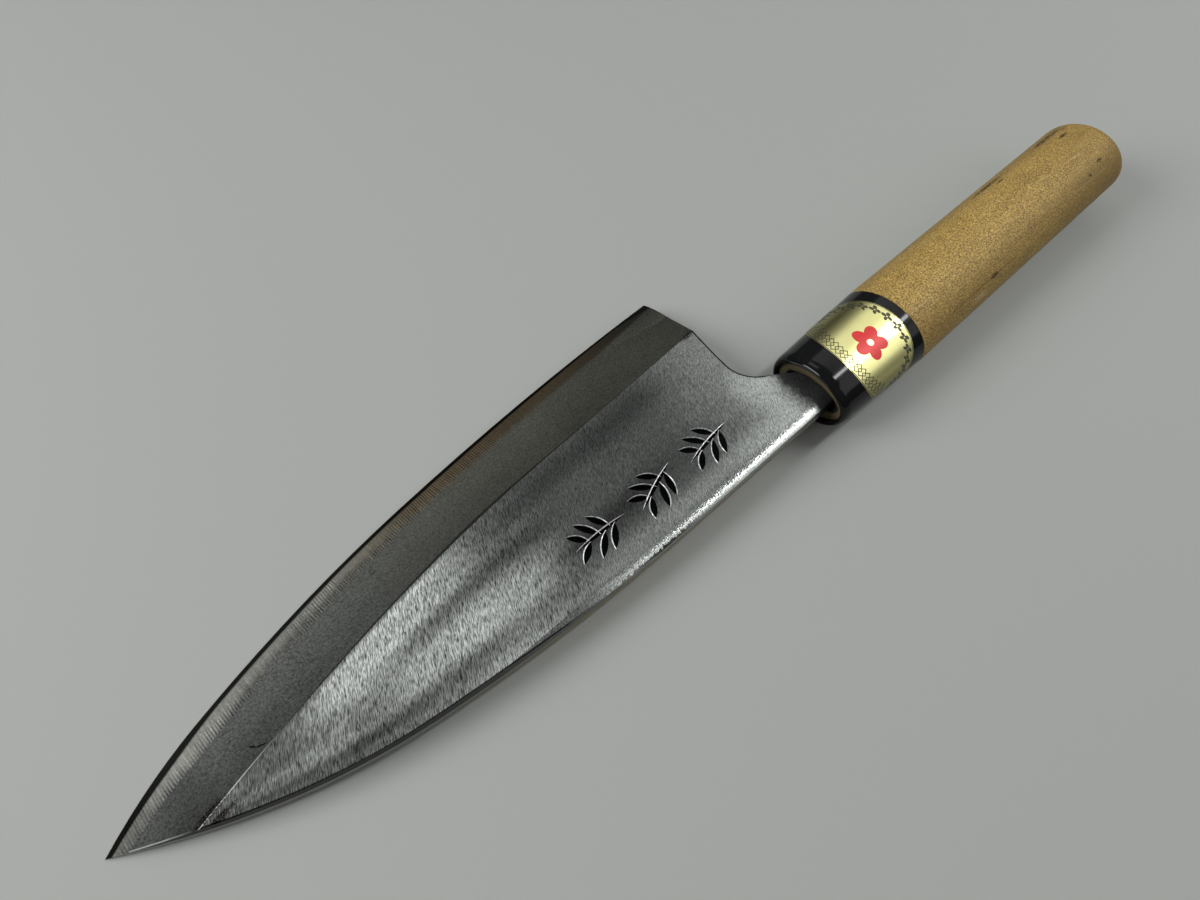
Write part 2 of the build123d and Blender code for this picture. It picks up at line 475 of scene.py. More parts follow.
@dataclass(frozen=True)
class BladeSizes:
    """The blade's curves and thicknesses, which its finishes follow."""

    heel_top: Place = (5.5, -31.9)
    heel_heading: float = atan2(1.0, 0.2)
    choil_crest: Place = (7.7, -18.5)
    choil_throat: Place = (4.0, -10.2)
    point_reach: float = 172.3
    ridge_start: float = -32.2
    ridge_slope: float = 0.0576
    ridge_turn: float = 60.0
    ridge_bend: float = 0.00121
    spine_rise: float = 5.9
    spine_turn: float = 45.0
    spine_bend: float = 0.001067
    knee: float = 112.0
    knee_slope: float = 0.0137
    knee_bend: float = 0.00284
    back_height: float = -2.2
    neck_thickness: float = 4.4
    point_thickness: float = 3.0
    edge_flat: float = 0.15
    bevel_width: float = 17.7
    bevel_height: float = 4.1

    def cheek_height(self, x: Term) -> Term:
        """Return how high the cheek lies at a place along the blade."""
        fall = (self.neck_thickness - self.point_thickness) / self.point_reach
        return self.back_height + self.neck_thickness - x * fall

    def ridge(self, x: Value) -> Value:
        """Return where the ridge line runs at a place along the blade, along Y."""
        turned = x.over(self.ridge_turn)
        return self.ridge_start + x * self.ridge_slope + turned * turned * self.ridge_bend

    def spine(self, x: Value) -> Value:
        """Work out where the spine runs.

        Args:
            x: The place along the blade.

        Returns:
            The spine's place along Y.
        """
        droop, knee = x.over(self.spine_turn), x.over(self.knee)
        flat = self.spine_rise - droop * droop * self.spine_bend
        return flat + knee * (self.knee_slope - knee * self.knee_bend)


class BladeMap:
    """Where a point of the blade's surface lies, worked out in its shader."""

    # How far a surface faces along Z where it stops being one face and is the next
    back_bar = (-0.7, -0.8)
    side_bar = (0.7, 0.75)
    shoulder_bar = (0.93, 0.95)
    bevel_bar = (0.985, 0.992)
    choil_blend = 0.1
    bevel_level: Table = (
        (0.0, 0.138), (30.0, 0.18), (60.0, 0.232), (112.0, 0.256), (132.0, 0.232), (146.0, 0.175),
        (158.0, 0.09),
    )
    bevel_fall: Table = ((10.0, 0.1), (50.0, 0.36), (110.0, 0.33), (140.0, 0.48))

    def __init__(self, shader: Shader, sizes: BladeSizes) -> None:
        """Work out the places.

        Args:
            shader: The blade's material.
            sizes: The blade's sizes.
        """
        self.shader = shader
        x, y, z = shader.x, shader.y, shader.z
        self.depth = sizes.cheek_height(x) - z
        slope = sizes.bevel_width / sizes.bevel_height
        self.edge_gap = (z - (sizes.back_height + sizes.edge_flat)) * slope
        self.ridge_gap = self.depth * slope
        self.climb = self.edge_gap / (self.edge_gap + self.ridge_gap)
        ridge, spine = sizes.ridge(x), sizes.spine(x)
        self.spine_gap = spine - y
        self.ridge_rise = y - ridge
        self.share = (y - ridge) / (spine - ridge)
        low = Arc(sizes.heel_top, sizes.heel_heading, sizes.choil_crest)
        high = Arc(sizes.choil_crest, low.end_heading, sizes.choil_throat)
        above = y.rise(sizes.choil_crest[1] - self.choil_blend, sizes.choil_crest[1] + self.choil_blend)
        self.choil_gap = low.gap(x, y) * (1.0 - above) + high.gap(x, y) * above
        faces = shader.facing(shader.axes.turn.col[2])
        self.cheek = faces.rise(*self.bevel_bar)
        self.bevel = faces.window(*self.shoulder_bar, *self.bevel_bar)
        self.shoulder = faces.window(*self.side_bar, *self.shoulder_bar)
        self.side = 1.0 - faces.rise(*self.side_bar)
        self.back = faces.rise(*self.back_bar)

    def bevel_iron(self) -> tuple[Value, Value]:
        """Work out the bevel's matte iron.

        Returns:
            Its brightness and its fine dust.
        """
        shader, x = self.shader, self.shader.x
        dust = shader.dapple((2.1, 2.1, 2.1), rough=0.7)
        mottle = shader.dapple((0.12, 0.2, 0.0), 7.0, 3.0)
        darker = self.climb.rise(0.36, 0.96) * x.table(self.bevel_fall)
        level = x.table(self.bevel_level) * (1.0 - darker) * (1.0 - x.rise(163.0, 169.0) * 0.35)
        grain = 1.8 + x.rise(90.0, 130.0) * 0.7
        return level * (0.83 + (dust - 0.5) * grain + mottle * 0.34), dust

    def olive(self, tip: Colour) -> Socket:
        """Return the bevel's tint, olive at the heel and plainer at the point."""
        return self.shader.mix(self.shader.x.rise(50.0, 135.0), (1.0, 1.02, 0.845), tip)

    def marks(self, places: tuple[Mark, ...]) -> Value:
        """Draw small ragged dark marks.

        Args:
            places: The marks.

        Returns:
            Their mask.
        """
        shader = self.shader
        grain = shader.dapple((2.6, 3.6, 0.0), 11.0, 3.0, 0.7)
        total = Value(shader, 0.0)
        for x, y, length, width, turn, ragged in places:
            east, north = shader.x - x, shader.y - y
            run = (east * cos(radians(turn)) + north * sin(radians(turn))) * (1 / length)
            side = (north * cos(radians(turn)) - east * sin(radians(turn))) * (1 / width)
            total = total + (run * run + side * side + (grain - 0.5) * ragged).rise(0.8, 0.55)
        return total.capped()


@dataclass(frozen=True)
class SoftIron:
    """Soft iron: satin cheek with painted reflections, matte bevel, a shoulder with a painted highlight,
    and dark forge oxide with painted shade at the neck.
    """

    scars: tuple[Mark, ...] = (
        (153.0, -11.6, 3.4, 0.8, 9.0, 6.0), (154.4, -13.6, 4.0, 0.85, 12.0, 8.0),
        (7.4, -31.6, 2.8, 0.8, 5.0, 7.0), (140.6, -17.9, 1.4, 0.24, -24.0, 1.5),
        (142.0, -18.9, 0.9, 0.3, -50.0, 1.5), (103.6, -33.6, 1.1, 0.14, 0.0, 2.0),
    )
    # Painted reflections on the cheek: light streaks (glows) and dark streaks (shades)
    glows: tuple[Streak, ...] = (
        (0.6, 0.24, 64.0, 82.0, 104.0, 126.0, 0.3), (0.62, 0.2, 120.0, 132.0, 146.0, 158.0, 0.16),
        (0.86, 0.09, 4.0, 16.0, 56.0, 74.0, 0.055),
    )
    shades: tuple[Streak, ...] = (
        (0.12, 0.17, 16.0, 30.0, 74.0, 88.0, 0.4), (0.15, 0.12, 86.0, 98.0, 118.0, 134.0, 0.2),
        (0.36, 0.11, 60.0, 76.0, 100.0, 122.0, 0.4), (0.62, 0.16, 10.0, 30.0, 200.0, 210.0, 0.2),
        (0.62, 0.16, 36.0, 50.0, 68.0, 80.0, 0.4), (0.82, 0.12, 84.0, 100.0, 124.0, 136.0, 0.38),
        (0.86, 0.1, 106.0, 118.0, 124.0, 136.0, 0.2),
    )
    # Painted highlight along the spine: a broad glow and a narrower shine
    spine_glow: Table = ((0.0, 0.3), (14.0, 0.24), (40.0, 0.24), (62.0, 0.19), (86.0, 0.06))
    spine_shine: Table = ((0.0, 0.06), (46.0, 0.1), (60.0, 0.3), (82.0, 0.0))
    ridge_width: Table = ((10.0, 0.12), (40.0, 0.2), (80.0, 0.75), (110.0, 0.4), (140.0, 0.1))
    # Level of the spine's side face, painted darker towards the point as painted shade
    side_level: Table = ((0.0, 0.5), (12.0, 1.0), (56.0, 1.0), (80.0, 0.34), (104.0, 0.1), (122.0, 0.05))
    # Middle of the painted gleam near the choil
    neck_glow: Place = (4.0, -8.5)
    fine_turn: float = radians(54.0)
    brush_turn: float = radians(61.0)
    cheek_tint: Colour = (0.975, 1.03, 0.98)
    tip_tint: Colour = (0.98, 1.03, 0.97)
    rust_tint: Colour = (1.04, 0.97, 0.88)
    roll_width: float = 4.0
    roll_lean: float = 0.62
    relief_depth: float = 0.014

    def streaks(self, x: Value, share: Value, rows: tuple[Streak, ...]) -> Value:
        """Draw long streaks over the cheek.

        Args:
            x: The place along the blade.
            share: The place across the cheek, 0 at the ridge and 1 at the spine.
            rows: The streaks.

        Returns:
            Their sum.
        """
        total = Value(x.shader, 0.0)
        for place, width, start, full, fade, gone, amount in rows:
            total = total + share.hump(place, width) * x.window(start, full, fade, gone) * amount
        return total

    def sheen(self, shader: Shader, spot: BladeMap, share: Value) -> Value:
        """Work out the cheek's painted reflections before it is brushed: streaks, highlights and a gleam.

        Args:
            shader: The material.
            spot: The places on the blade.
            share: The place across the cheek, 0 at the ridge and 1 at the spine.

        Returns:
            The brightness.
        """
        x, y = shader.x, shader.y
        level = 0.115 + x.rise(36.0, 6.0) * 0.18 + x.rise(66.0, 92.0) * 0.05
        level = level + spot.spine_gap.rise(10.0, 0.4) * x.table(self.spine_glow)
        level = level + spot.spine_gap.rise(3.4, 0.4) * x.table(self.spine_shine)
        east, north = x - self.neck_glow[0], y - self.neck_glow[1]
        level = level + (east * east + north * north).rise(150.0, 6.0) * 0.2
        # Painted highlight along the ridge, then painted dark streaks and painted darkening towards the
        # point
        ridge_glow = spot.ridge_rise.window(0.0, 1.2, 3.0, 12.0)
        level = level + ridge_glow * x.window(82.0, 102.0, 122.0, 139.0) * 0.3
        level = level + self.streaks(x, share, self.glows)
        shade = x.rise(124.0, 142.0) * 0.3 + self.streaks(x, share, self.shades)
        shade = shade + share.rise(0.76, 0.95) * x.window(90.0, 108.0, 124.0, 142.0) * 0.4
        brighter = x.rise(88.0, 122.0) + x.window(76.0, 94.0, 108.0, 136.0)
        return level * (1.0 - shade) * (1.0 + brighter * 0.32)

    def cheek(self, shader: Shader, spot: BladeMap) -> tuple[Value, Value]:
        """Work out the cheek.

        Args:
            shader: The material.
            spot: The places on the blade.

        Returns:
            Its brightness and its brushed relief.
        """
        x, y = shader.x, shader.y
        fine = shader.noise(shader.stretched(0.85, 0.24, self.fine_turn), 2.0, 0.75)
        lines = shader.noise(shader.stretched(1.5, 0.21, self.brush_turn, 2.0), 1.0, 0.6)
        cloud = shader.dapple((0.1, 0.15, 0.0), 3.0, 4.0, 0.6)
        share = spot.share + (shader.dapple((0.022, 0.08, 0.0), 3.0) - 0.5) * 0.12
        # The long light and dark bands towards the point are painted reflections of the brushed metal
        bands = shader.noise(shader.join(x * 0.016, share * 7.0, 8.0), 3.0)
        tip = x.rise(50.0, 90.0)
        level = self.sheen(shader, spot, share) * (1.0 + (bands - 0.5) * 0.9 * tip) * (0.8 + cloud * 0.4)
        # spine_line is a painted dark reflection in the cheek's corner at the spine towards the point;
        # choil_line is a dark line along the choil
        spine_line = spot.spine_gap.rise(0.42, 0.18) * x.rise(68.0, 86.0)
        choil_line = spot.choil_gap.rise(0.5, 0.28) * y.rise(-8.0, -9.0)
        # Painted shade: dims the painted spine highlight near the heel, it is not wear
        worn = spot.spine_gap.rise(3.4, 1.6) * x.rise(50.0, 30.0)
        level = level * (1.0 - (spine_line + choil_line) * 0.93) * (1.0 - worn * 0.3)
        heel_grain = (fine - 0.5) * 2.8 + (lines - 0.5) * 1.2
        tip_grain = (lines - 0.5) * (3.9 - x.rise(120.0, 135.0) * 0.8) + (fine - 0.5) * 1.6
        grain = heel_grain * (1.0 - tip) + tip_grain * tip
        return level * (1.0 + grain).math("MAXIMUM", 0.1), fine * (1.0 - tip) + lines * tip

    def nicks(self, shader: Shader, spot: BladeMap) -> Value:
        """Return the mask of the nicks along the spine's outer border."""
        grain = shader.noise(shader.join(shader.x * 0.9, 2.0, 2.0), 4.0, 0.7)
        return (spot.depth + (grain - 0.5) * 2.4).rise(1.1, 1.25) * shader.x.hump(54.0, 26.0)

    def scale_and_shade(self, shader: Shader, spot: BladeMap) -> Value:
        """Work out where dark forge oxide, and painted shade beside it, cover the neck.

        Args:
            shader: The material.
            spot: The places on the blade.

        Returns:
            The mask.
        """
        rim = shader.x + (shader.dapple((0.5, 0.5, 0.0), 5.0, 4.0, 0.65) - 0.5) * 5.0
        scale_and_shade = rim.rise(3.6, 0.4) * 0.98
        # Painted shade that spreads a little past the forge oxide on the spine side
        scale_and_shade = scale_and_shade + rim.window(0.4, 3.6, 1.0, 8.0) * shader.y.rise(-9.0, -3.0) * 0.45
        # Keeps the dark off the shoulder so that its painted highlight shows
        return scale_and_shade * (1.0 - spot.spine_gap.rise(2.8, 1.2) * shader.x.rise(0.3, 1.8) * 0.85)

    def build(self, axes: KnifeAxes, sizes: BladeSizes) -> bpy.types.Material:
        """Build the material.

        Args:
            axes: The knife's axes.
            sizes: The blade's sizes.

        Returns:
            The finished material.
        """
        shader = Shader("soft_iron", axes)
        spot = BladeMap(shader, sizes)
        x = shader.x
        cheek, brush = self.cheek(shader, spot)
        bevel, dust = spot.bevel_iron()
        # Dark line along the ridge, painted shade of a shallow groove beside it
        ridge_line = (spot.ridge_gap / x.table(self.ridge_width)).rise(1.2, 0.6)
        bevel = bevel * (1.0 - ridge_line * x.window(6.0, 14.0, 134.0, 142.0) * 0.62)
        # Painted highlights: a bright line along the ridge and one along the spine border near the point
        bevel = bevel + spot.ridge_gap.rise(0.24, 0.1) * x.rise(134.0, 148.0) * 0.6
        bevel = bevel + spot.spine_gap.rise(0.32, 0.16) * x.rise(157.0, 163.0) * 0.22
        scale_and_shade = self.scale_and_shade(shader, spot)
        # Painted shade: the engraved grooves are painted almost black
        engraved = spot.cheek * spot.depth.rise(0.06, 0.2)
        side = 0.42 + (shader.dapple((1.8, 1.0, 0.3), 0.0, 3.0) - 0.5) * 0.5
        shoulder = cheek * (1.0 - self.nicks(shader, spot) * 0.93)
        level = spot.cheek * cheek + spot.bevel * bevel + spot.shoulder * shoulder
        level = level + spot.side * side * x.table(self.side_level)
        marks = spot.marks(self.scars)
        level = level * (1.0 - engraved * 0.97) * (1.0 - scale_and_shade * 0.95) * (1.0 - marks * 0.8)
        olive = spot.olive(self.tip_tint)
        tint = shader.paint(self.cheek_tint, (spot.bevel, olive), (marks, self.rust_tint))
        polish = spot.spine_gap.rise(5.0, 1.2) * (1.0 - spot.bevel)
        dull = spot.side * x.rise(64.0, 96.0)
        rough = 0.38 - spot.bevel * 0.02 - polish * 0.12 + scale_and_shade * 0.25 + (brush - 0.5) * spot.cheek * 0.14
        shader.dress(shader.grey(level, tint), rough + dull * 0.25, 1.0 - scale_and_shade * 0.7 - dull * 0.6)
        roll = (1.0 - spot.spine_gap * (1 / self.roll_width)).math("MAXIMUM", 0.0)
        tilt = roll ** 2.6 * self.roll_lean + (brush - 0.5) * roll * 1.1
        rolled = (spot.cheek + spot.shoulder) * x.rise(88.0, 62.0)
        normal = shader.lean(rolled, tilt, axes.turn.col[2], axes.turn.col[1])
        shader.relief(spot.cheek * brush + spot.bevel * dust * 0.4, self.relief_depth, normal)
        return shader.material


@dataclass(frozen=True)
class HardSteel:
    """Hard steel: a brighter band with grinding lines along the edge, and a polished back."""

    line_pitch: float = 0.6
    line_slope: float = 0.03
    band_level: Table = (
        (10.0, 0.06), (50.0, 0.145), (85.0, 0.21), (112.0, 0.52), (140.0, 0.46), (152.0, 0.4),
        (168.0, 0.12),
    )
    band_width: Table = ((20.0, 3.6), (66.0, 3.1), (98.0, 1.8), (128.0, 1.8), (146.0, 2.3))
    warmth: Table = ((8.0, 0.4), (32.0, 1.0), (72.0, 1.0), (116.0, 0.1))
    tip_tint: Colour = (0.99, 1.02, 0.96)
    warm_tint: Colour = (1.2, 0.96, 0.62)
    swirl_turn: float = radians(96.0)
    relief_depth: float = 0.011

    def band(
        self, shader: Shader, spot: BladeMap, zone: Value, lines: Value, scratch: Value
    ) -> tuple[Value, Value]:
        """Work out how light the bevel's steel is.

        Args:
            shader: The material.
            spot: The places on the blade.
            zone: Where the grinding lines show.
            lines: The grinding lines, from -1 to 1.
            scratch: The scratches.

        Returns:
            The brightness and the iron's fine dust.
        """
        x, gap = shader.x, spot.edge_gap
        iron, dust = spot.bevel_iron()
        border = shader.noise(shader.join(x * 0.08, 2.0, 6.0)) - 0.5
        soft = 0.5 - x.rise(134.0, 150.0) * 0.22
        fade = ((gap - x.table(self.band_width)) * soft + border * 0.5).rise(0.0, 0.9)
        level = x.table(self.band_level) * (0.4 + dust * 1.2) * (1.0 - fade) + iron * fade
        level = level * (1.0 + lines * 0.55 + (scratch - 0.5) * zone * 1.5)
        level = level * (1.0 + (gap + border * 0.8).hump(4.7, 0.6) * x.rise(56.0, 16.0) * 0.34)
        # Painted dark reflection and shade along the very edge
        return level * (1.0 - (gap - x.rise(142.0, 158.0) * 0.6).rise(1.15, 0.7) * 0.95), dust

    def build(self, axes: KnifeAxes, sizes: BladeSizes) -> bpy.types.Material:
        """Build the material.

        Args:
            axes: The knife's axes.
            sizes: The blade's sizes.

        Returns:
            The finished material.
        """
        shader = Shader("hard_steel", axes)
        spot = BladeMap(shader, sizes)
        x, gap = shader.x, spot.edge_gap
        along = x + gap * self.line_slope
        wobble = shader.noise(shader.join(x * 0.1, gap * 0.2, 1.0))
        scratch = shader.noise(shader.join(along * 2.6, gap * 0.12, 4.0), 3.0, 0.65)
        patch = shader.noise(shader.join(x * 0.05, gap * 0.3, 5.0), 1.0).rise(0.38, 0.62)
        zone = gap.rise(0.6, 1.8) * (gap - x.rise(150.0, 162.0) * 1.6).rise(5.4, 4.0) * x.rise(20.0, 90.0)
        lines = (along * (2 * pi / self.line_pitch) + wobble * 8.0).math("SINE") * zone * patch
        swirl = shader.noise(shader.stretched(9.0, 0.3, self.swirl_turn))
        band, dust = self.band(shader, spot, zone, lines, scratch)
        level = band * spot.bevel + (0.55 + (swirl - 0.5) * 0.24) * spot.back + spot.side * 0.3
        warm = x.table(self.warmth) * gap.rise(4.8, 3.0)
        tint = shader.mix(warm, spot.olive(self.tip_tint), self.warm_tint)
        shader.dress(shader.grey(level, tint), 0.36 + (scratch - 0.5) * zone * 0.14, 1.0)
        shader.relief(lines * 0.2 + spot.back * swirl + dust * 0.3, self.relief_depth)
        return shader.material


@dataclass(frozen=True)
class BurrIron:
    """The bright rim that the chisel raised beside each stroke."""

    def build(self, axes: KnifeAxes) -> bpy.types.Material:
        """Build the material.

        Args:
            axes: The knife's axes.

        Returns:
            The finished material.
        """
        shader = Shader("burr_iron", axes)
        wear = shader.dapple((1.2, 1.2, 0.0))
        shader.dress(shader.grey(0.35 + wear.rise(0.3, 0.6) * 0.6), 0.34 - (wear - 0.5) * 0.2, 1.0)
        return shader.material


@dataclass(frozen=True)
class HandleWood:
    """Bare fine-grained wood with short dark pores, stained by use, with painted shade on its spine side
    and in its mouth.
    """

    light: Colour = (0.425, 0.288, 0.084)
    dark: Colour = (0.262, 0.164, 0.043)
    pore: Colour = (0.155, 0.086, 0.019)
    pale: Colour = (0.74, 0.51, 0.145)
    streak: Colour = (0.74, 0.6, 0.33)
    butt: Colour = (0.24, 0.15, 0.035)
    # Painted shade on the handle's spine-side flank
    spine_side_shade: Colour = (0.15, 0.1, 0.03)
    edge_side: Colour = (0.16, 0.11, 0.035)
    grime: Colour = (0.16, 0.09, 0.03)
    stain: Colour = (0.05, 0.026, 0.008)
    # The tenon's face is painted dark as painted shade of the ferrule's lip, darkest on the edge side
    tenon: Colour = (0.075, 0.06, 0.034)
    tenon_shade: Colour = (0.04, 0.034, 0.018)
    char_and_shade: Colour = (0.003, 0.0025, 0.002)
    gloss: float = 0.3
    relief_depth: float = 0.03
    hole_middle: float = 0.2
    hole_half: Place = (7.6, 4.0)
    scratches: tuple[Scratch, ...] = (
        (-121.0, -109.0, 2.7, -0.1, 0.26, (0.78, 0.62, 0.32)),
        (-108.0, -92.0, 1.5, -0.06, 0.2, (0.6, 0.45, 0.18)),
        (-76.0, -40.0, 10.9, 0.0, 0.22, (0.1, 0.06, 0.02)),
        (-131.0, -100.0, 9.6, -0.016, 0.25, (0.62, 0.48, 0.24)),
    )
    scratch_fade: float = 6.0
    spots: tuple[Stain, ...] = (
        (-120.5, -9.0, 6.4, 8.0, 1.1, 0.44), (-123.0, -5.6, 8.5, 2.8, 0.8, 0.42),
        (-90.0, -9.2, 6.3, 8.5, 0.8, 0.43), (-63.8, 10.8, 4.3, 2.2, 0.5, 0.38),
        (-121.2, 7.0, 7.8, 1.4, 0.5, 0.38), (-114.8, 8.4, 7.0, 0.9, 0.5, 0.4),
        (-93.0, -7.4, 7.7, 2.2, 0.4, 0.4), (-127.0, -7.4, 6.2, 2.0, 0.7, 0.42),
    )

    def stains(self, shader: Shader) -> Value:
        """Draw the dark stains that use has left.

        Args:
            shader: The material.

        Returns:
            Their mask.
        """
        total = Value(shader, 0.0)
        grain = shader.dapple((0.7, 3.2, 2.6), 0.0, 3.0, 0.65)
        for along, across, up, length, width, bar in self.spots:
            run = (shader.x - along) * (1 / length)
            side = (shader.y - across) * (1 / width)
            lift = (shader.z - up) * (1 / (width + 1.0))
            spread = run * run + side * side + lift * lift + (grain - 0.5) * 2.0
            total = total + spread.rise(1.0, 0.4) * grain.rise(bar, bar + 0.05)
        return total.capped()

    def scratched(self, shader: Shader, colour: Socket, fibre: Value) -> Socket:
        """Draw the long thin scratches.

        Args:
            shader: The material.
            colour: The wood's colour.
            fibre: The wood's fibres, which break the scratches up.

        Returns:
            The colour with the scratches.
        """
        x, y, z = shader.x, shader.y, shader.z
        for start, end, across, slope, half, tone in self.scratches:
            run = x.window(start, start + self.scratch_fade, end - self.scratch_fade, end)
            line = (y - across - (x - start) * slope).hump(0.0, half) * run
            colour = shader.mix(line * z.rise(-1.0, 1.0) * fibre.rise(0.36, 0.5) * 0.75, colour, tone)
        return colour

    def burnt(self, shader: Shader, ragged: Value) -> Value:
        """Work out where the tang's hole is burnt black, with the walls of the mouth past the tenon's face
        painted black as painted shade.

        Args:
            shader: The material.
            ragged: What makes its border ragged.

        Returns:
            The mask.
        """
        down = (shader.y - self.hole_middle) * (1 / self.hole_half[0])
        over = shader.z * (1 / self.hole_half[1])
        hole = down * down + over * over + ragged
        # Painted shade: the mouth's walls past the tenon's face are painted black
        inside_shade = shader.x.rise(-2.65, -2.8) * hole.rise(2.6, 2.2)
        return shader.x.rise(-10.2, -9.8) * (hole.rise(1.22, 1.04) + inside_shade).capped()

    def build(self, axes: KnifeAxes) -> bpy.types.Material:
        """Build the material.

        Args:
            axes: The knife's axes.

        Returns:
            The finished material.
        """
        shader = Shader("handle_wood", axes)
        x, y, z = shader.x, shader.y, shader.z
        fibre = shader.dapple((0.22, 2.2, 2.2), 0.0, 4.0, 0.65)
        speckle = shader.dapple((1.9, 3.3, 3.3), 9.0, 2.0, 0.75)
        mottle = shader.dapple((0.05, 0.3, 0.3), 4.0, 3.0)
        grime = shader.dapple((0.16, 0.22, 0.22), 6.0, 4.0, 0.6)
        rings = (y * 0.45 + z * 1.1 + mottle * 5.0).math("SINE") * 0.5 + 0.5
        share = fibre * 0.8 + mottle * 0.8 + rings * 0.12 - 0.36
        pores = speckle.rise(0.5, 0.62)
        rub = shader.noise(shader.join(x * 0.045, y * 3.4 + z * 1.3, 3.0))
        colour = shader.paint(
            self.dark, (share.rise(0.15, 0.85), self.light), (pores * 0.86, self.pore),
            (speckle.rise(0.5, 0.38) * 0.8, self.pale), (rub.rise(0.68, 0.72) * 0.45, self.streak),
        )
        colour = self.scratched(shader, colour, fibre)
        end, tip = x.rise(-80.0, -125.0), x.rise(-120.0, -136.0)
        stains = self.stains(shader)
        front = x.rise(-4.0, -3.0)
        char_and_shade = self.burnt(shader, (speckle - 0.5) * 0.3 + (grime - 0.5) * 0.7)
        # Painted shade: the spine-side flank and the tenon's face in the mouth are painted dark
        colour = shader.paint(
            colour, (end * 0.3, self.butt), (y.rise(3.5, 10.0) * (0.4 + end * 0.2), self.spine_side_shade),
            (y.rise(-5.0, -11.0) * 0.34, self.edge_side),
            (grime.rise(0.46, 0.7) * (0.18 + tip * 0.4), self.grime), (stains * 0.92, self.stain),
            (front * 0.94, self.tenon), (front * y.rise(1.0, -6.0) * 0.5, self.tenon_shade),
            (char_and_shade, self.char_and_shade),
        )
        shader.dress(colour, 0.6 - pores * 0.1 + stains * 0.1 + char_and_shade * 0.3, 0.0)
        shader.surface.inputs["Specular IOR Level"].default_value = self.gloss
        shader.relief(fibre * 0.5 - pores * 0.6, self.relief_depth)
        return shader.material


@dataclass(frozen=True)
class FerrulePlastic:
    """Glossy black moulded plastic with fine wear."""

    black: Colour = (0.0035, 0.004, 0.0038)
    worn: Colour = (0.012, 0.013, 0.012)
    gloss: float = 0.22
    relief_depth: float = 0.003

    def build(self, axes: KnifeAxes) -> bpy.types.Material:
        """Build the material.

        Args:
            axes: The knife's axes.

        Returns:
            The finished material.
        """
        shader = Shader("ferrule_plastic", axes)
        scuff = shader.noise(shader.stretched(6.0, 0.5, 0.3), 3.0)
        cloud = shader.dapple((0.3, 0.3, 0.3))
        colour = shader.mix(scuff.rise(0.55, 0.75) * 0.5, self.black, self.worn)
        shader.dress(colour, 0.085 + cloud * 0.05, 0.0)
        shader.surface.inputs["Specular IOR Level"].default_value = self.gloss
        shader.relief(scuff, self.relief_depth)
        return shader.material


